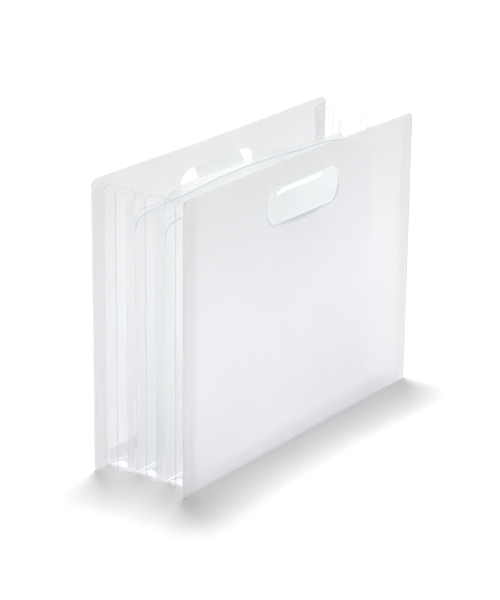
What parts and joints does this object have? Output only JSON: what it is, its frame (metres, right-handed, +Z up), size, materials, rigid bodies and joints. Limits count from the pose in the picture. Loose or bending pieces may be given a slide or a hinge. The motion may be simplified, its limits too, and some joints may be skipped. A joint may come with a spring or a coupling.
{
  "type": "expanding file",
  "caption": "Open-topped expanding file of frosted sheet: two panels with hand holes, pleated sides, creased pocket bottoms and two-ply dividers, folding flat like a concertina.",
  "frame": {"origin": "middle of the footprint, on the surface that the file stands on", "axes": "+X along the panels to the right seen from the front, +Y from the front panel to the back panel, +Z up"},
  "size_m": [0.335, 0.0942, 0.255],
  "materials": {
    "panel_sheet": "frosted clear polypropylene, 0.8 mm",
    "gusset_sheet": "frosted clear polypropylene, thin sheet",
    "divider_sheet": "frosted clear polypropylene, thin sheet"
  },
  "bodies": {
    "front": {"front_panel": "panel_sheet", "front_panel_left_weld_flange": "gusset_sheet", "front_panel_right_weld_flange": "gusset_sheet", "front_panel_bottom_weld_flange": "gusset_sheet"},
    "left_strip_1": {"left_gusset_strip_1": "gusset_sheet"},
    "left_strip_2": {"left_gusset_strip_2": "gusset_sheet"},
    "right_strip_1": {"right_gusset_strip_1": "gusset_sheet"},
    "right_strip_2": {"right_gusset_strip_2": "gusset_sheet"},
    "divider_1": {"divider_1_front_ply": "divider_sheet", "divider_1_rear_ply": "divider_sheet"},
    "bottom_1_front": {"pocket_1_bottom_front_half": "gusset_sheet"},
    "bottom_1_rear": {"pocket_1_bottom_rear_half": "gusset_sheet"},
    "left_strip_3": {"left_gusset_strip_3": "gusset_sheet", "divider_1_left_weld_flange": "gusset_sheet"},
    "left_strip_4": {"left_gusset_strip_4": "gusset_sheet"},
    "right_strip_3": {"right_gusset_strip_3": "gusset_sheet", "divider_1_right_weld_flange": "gusset_sheet"},
    "right_strip_4": {"right_gusset_strip_4": "gusset_sheet"},
    "divider_2": {"divider_2_front_ply": "divider_sheet", "divider_2_rear_ply": "divider_sheet"},
    "bottom_2_front": {"pocket_2_bottom_front_half": "gusset_sheet"},
    "bottom_2_rear": {"pocket_2_bottom_rear_half": "gusset_sheet"},
    "left_strip_5": {"left_gusset_strip_5": "gusset_sheet", "divider_2_left_weld_flange": "gusset_sheet"},
    "left_strip_6": {"left_gusset_strip_6": "gusset_sheet"},
    "right_strip_5": {"right_gusset_strip_5": "gusset_sheet", "divider_2_right_weld_flange": "gusset_sheet"},
    "right_strip_6": {"right_gusset_strip_6": "gusset_sheet"},
    "back": {"back_panel": "panel_sheet", "back_panel_left_weld_flange": "gusset_sheet", "back_panel_right_weld_flange": "gusset_sheet", "back_panel_bottom_weld_flange": "gusset_sheet"},
    "bottom_3_front": {"pocket_3_bottom_front_half": "gusset_sheet"},
    "bottom_3_rear": {"pocket_3_bottom_rear_half": "gusset_sheet"},
    "front_flap": {"front_handle_flap": "panel_sheet"},
    "back_flap": {"back_handle_flap": "panel_sheet"}
  },
  "joints": [
    {"name": "fold", "type": "hinge", "parent": "front", "child": "left_strip_1", "pos_m": [-0.15075, -0.04599, 0], "axis": [0, 0, 1], "range_deg": [-17, 61]},
    {"name": "left_fold_2", "type": "hinge", "parent": "left_strip_1", "child": "left_strip_2", "pos_m": [-0.15657, -0.03066, 0], "axis": [0, 0, 1], "range_deg": [-138, 50]},
    {"name": "divider_1_fold", "type": "hinge", "parent": "left_strip_2", "child": "divider_1", "pos_m": [-0.15075, -0.01533, 0], "axis": [0, 0, 1], "range_deg": [-25, 69]},
    {"name": "right_fold_1", "type": "hinge", "parent": "front", "child": "right_strip_1", "pos_m": [0.15075, -0.04599, 0], "axis": [0, 0, 1], "range_deg": [-69, 25]},
    {"name": "right_fold_2", "type": "hinge", "parent": "right_strip_1", "child": "right_strip_2", "pos_m": [0.15657, -0.03066, 0], "axis": [0, 0, 1], "range_deg": [-50, 138]},
    {"name": "bottom_fold_1", "type": "hinge", "parent": "front", "child": "bottom_1_front", "pos_m": [0, -0.04599, 0.00065], "axis": [1, 0, 0], "range_deg": [-25, 69]},
    {"name": "bottom_fold_2", "type": "hinge", "parent": "bottom_1_front", "child": "bottom_1_rear", "pos_m": [0, -0.03108, 0.00686], "axis": [1, 0, 0], "range_deg": [-138, 50]},
    {"name": "left_fold_3", "type": "hinge", "parent": "divider_1", "child": "left_strip_3", "pos_m": [-0.15075, -0.01533, 0], "axis": [0, 0, 1], "range_deg": [-25, 69]},
    {"name": "left_fold_4", "type": "hinge", "parent": "left_strip_3", "child": "left_strip_4", "pos_m": [-0.15657, 0, 0], "axis": [0, 0, 1], "range_deg": [-138, 50]},
    {"name": "divider_2_fold", "type": "hinge", "parent": "left_strip_4", "child": "divider_2", "pos_m": [-0.15075, 0.01533, 0], "axis": [0, 0, 1], "range_deg": [-25, 69]},
    {"name": "right_fold_3", "type": "hinge", "parent": "divider_1", "child": "right_strip_3", "pos_m": [0.15075, -0.01533, 0], "axis": [0, 0, 1], "range_deg": [-69, 25]},
    {"name": "right_fold_4", "type": "hinge", "parent": "right_strip_3", "child": "right_strip_4", "pos_m": [0.15657, 0, 0], "axis": [0, 0, 1], "range_deg": [-50, 138]},
    {"name": "bottom_fold_3", "type": "hinge", "parent": "divider_1", "child": "bottom_2_front", "pos_m": [0, -0.01488, 0.00065], "axis": [1, 0, 0], "range_deg": [-25, 69]},
    {"name": "bottom_fold_4", "type": "hinge", "parent": "bottom_2_front", "child": "bottom_2_rear", "pos_m": [0, 0.00003, 0.00686], "axis": [1, 0, 0], "range_deg": [-138, 50]},
    {"name": "left_fold_5", "type": "hinge", "parent": "divider_2", "child": "left_strip_5", "pos_m": [-0.15075, 0.01533, 0], "axis": [0, 0, 1], "range_deg": [-25, 69]},
    {"name": "left_fold_6", "type": "hinge", "parent": "left_strip_5", "child": "left_strip_6", "pos_m": [-0.15657, 0.03066, 0], "axis": [0, 0, 1], "range_deg": [-138, 50]},
    {"name": "back_fold", "type": "hinge", "parent": "left_strip_6", "child": "back", "pos_m": [-0.15075, 0.04599, 0], "axis": [0, 0, 1], "range_deg": [-25, 69]},
    {"name": "right_fold_5", "type": "hinge", "parent": "divider_2", "child": "right_strip_5", "pos_m": [0.15075, 0.01533, 0], "axis": [0, 0, 1], "range_deg": [-69, 25]},
    {"name": "right_fold_6", "type": "hinge", "parent": "right_strip_5", "child": "right_strip_6", "pos_m": [0.15657, 0.03066, 0], "axis": [0, 0, 1], "range_deg": [-50, 138]},
    {"name": "bottom_fold_5", "type": "hinge", "parent": "divider_2", "child": "bottom_3_front", "pos_m": [0, 0.01578, 0.00065], "axis": [1, 0, 0], "range_deg": [-25, 69]},
    {"name": "bottom_fold_6", "type": "hinge", "parent": "bottom_3_front", "child": "bottom_3_rear", "pos_m": [0, 0.03069, 0.00686], "axis": [1, 0, 0], "range_deg": [-138, 50]},
    {"name": "front_flap_swing", "type": "hinge", "parent": "front", "child": "front_flap", "pos_m": [0, -0.04634, 0.234], "axis": [1, 0, 0], "range_deg": [-14, 136], "stiffness_Nm_per_rad": 0.001},
    {"name": "back_flap_swing", "type": "hinge", "parent": "back", "child": "back_flap", "pos_m": [0, 0.04634, 0.234], "axis": [-1, 0, 0], "range_deg": [-14, 136], "stiffness_Nm_per_rad": 0.001}
  ],
  "couplings": [
    {"joint": "left_fold_2", "follows": "fold", "ratio": -2},
    {"joint": "divider_1_fold", "follows": "fold", "ratio": 1},
    {"joint": "right_fold_1", "follows": "fold", "ratio": -1},
    {"joint": "right_fold_2", "follows": "fold", "ratio": 2},
    {"joint": "bottom_fold_1", "follows": "fold", "ratio": 1},
    {"joint": "bottom_fold_2", "follows": "fold", "ratio": -2},
    {"joint": "left_fold_3", "follows": "fold", "ratio": 1},
    {"joint": "left_fold_4", "follows": "fold", "ratio": -2},
    {"joint": "divider_2_fold", "follows": "fold", "ratio": 1},
    {"joint": "right_fold_3", "follows": "fold", "ratio": -1},
    {"joint": "right_fold_4", "follows": "fold", "ratio": 2},
    {"joint": "bottom_fold_3", "follows": "fold", "ratio": 1},
    {"joint": "bottom_fold_4", "follows": "fold", "ratio": -2},
    {"joint": "left_fold_5", "follows": "fold", "ratio": 1},
    {"joint": "left_fold_6", "follows": "fold", "ratio": -2},
    {"joint": "back_fold", "follows": "fold", "ratio": 1},
    {"joint": "right_fold_5", "follows": "fold", "ratio": -1},
    {"joint": "right_fold_6", "follows": "fold", "ratio": 2},
    {"joint": "bottom_fold_5", "follows": "fold", "ratio": 1},
    {"joint": "bottom_fold_6", "follows": "fold", "ratio": -2}
  ]
}
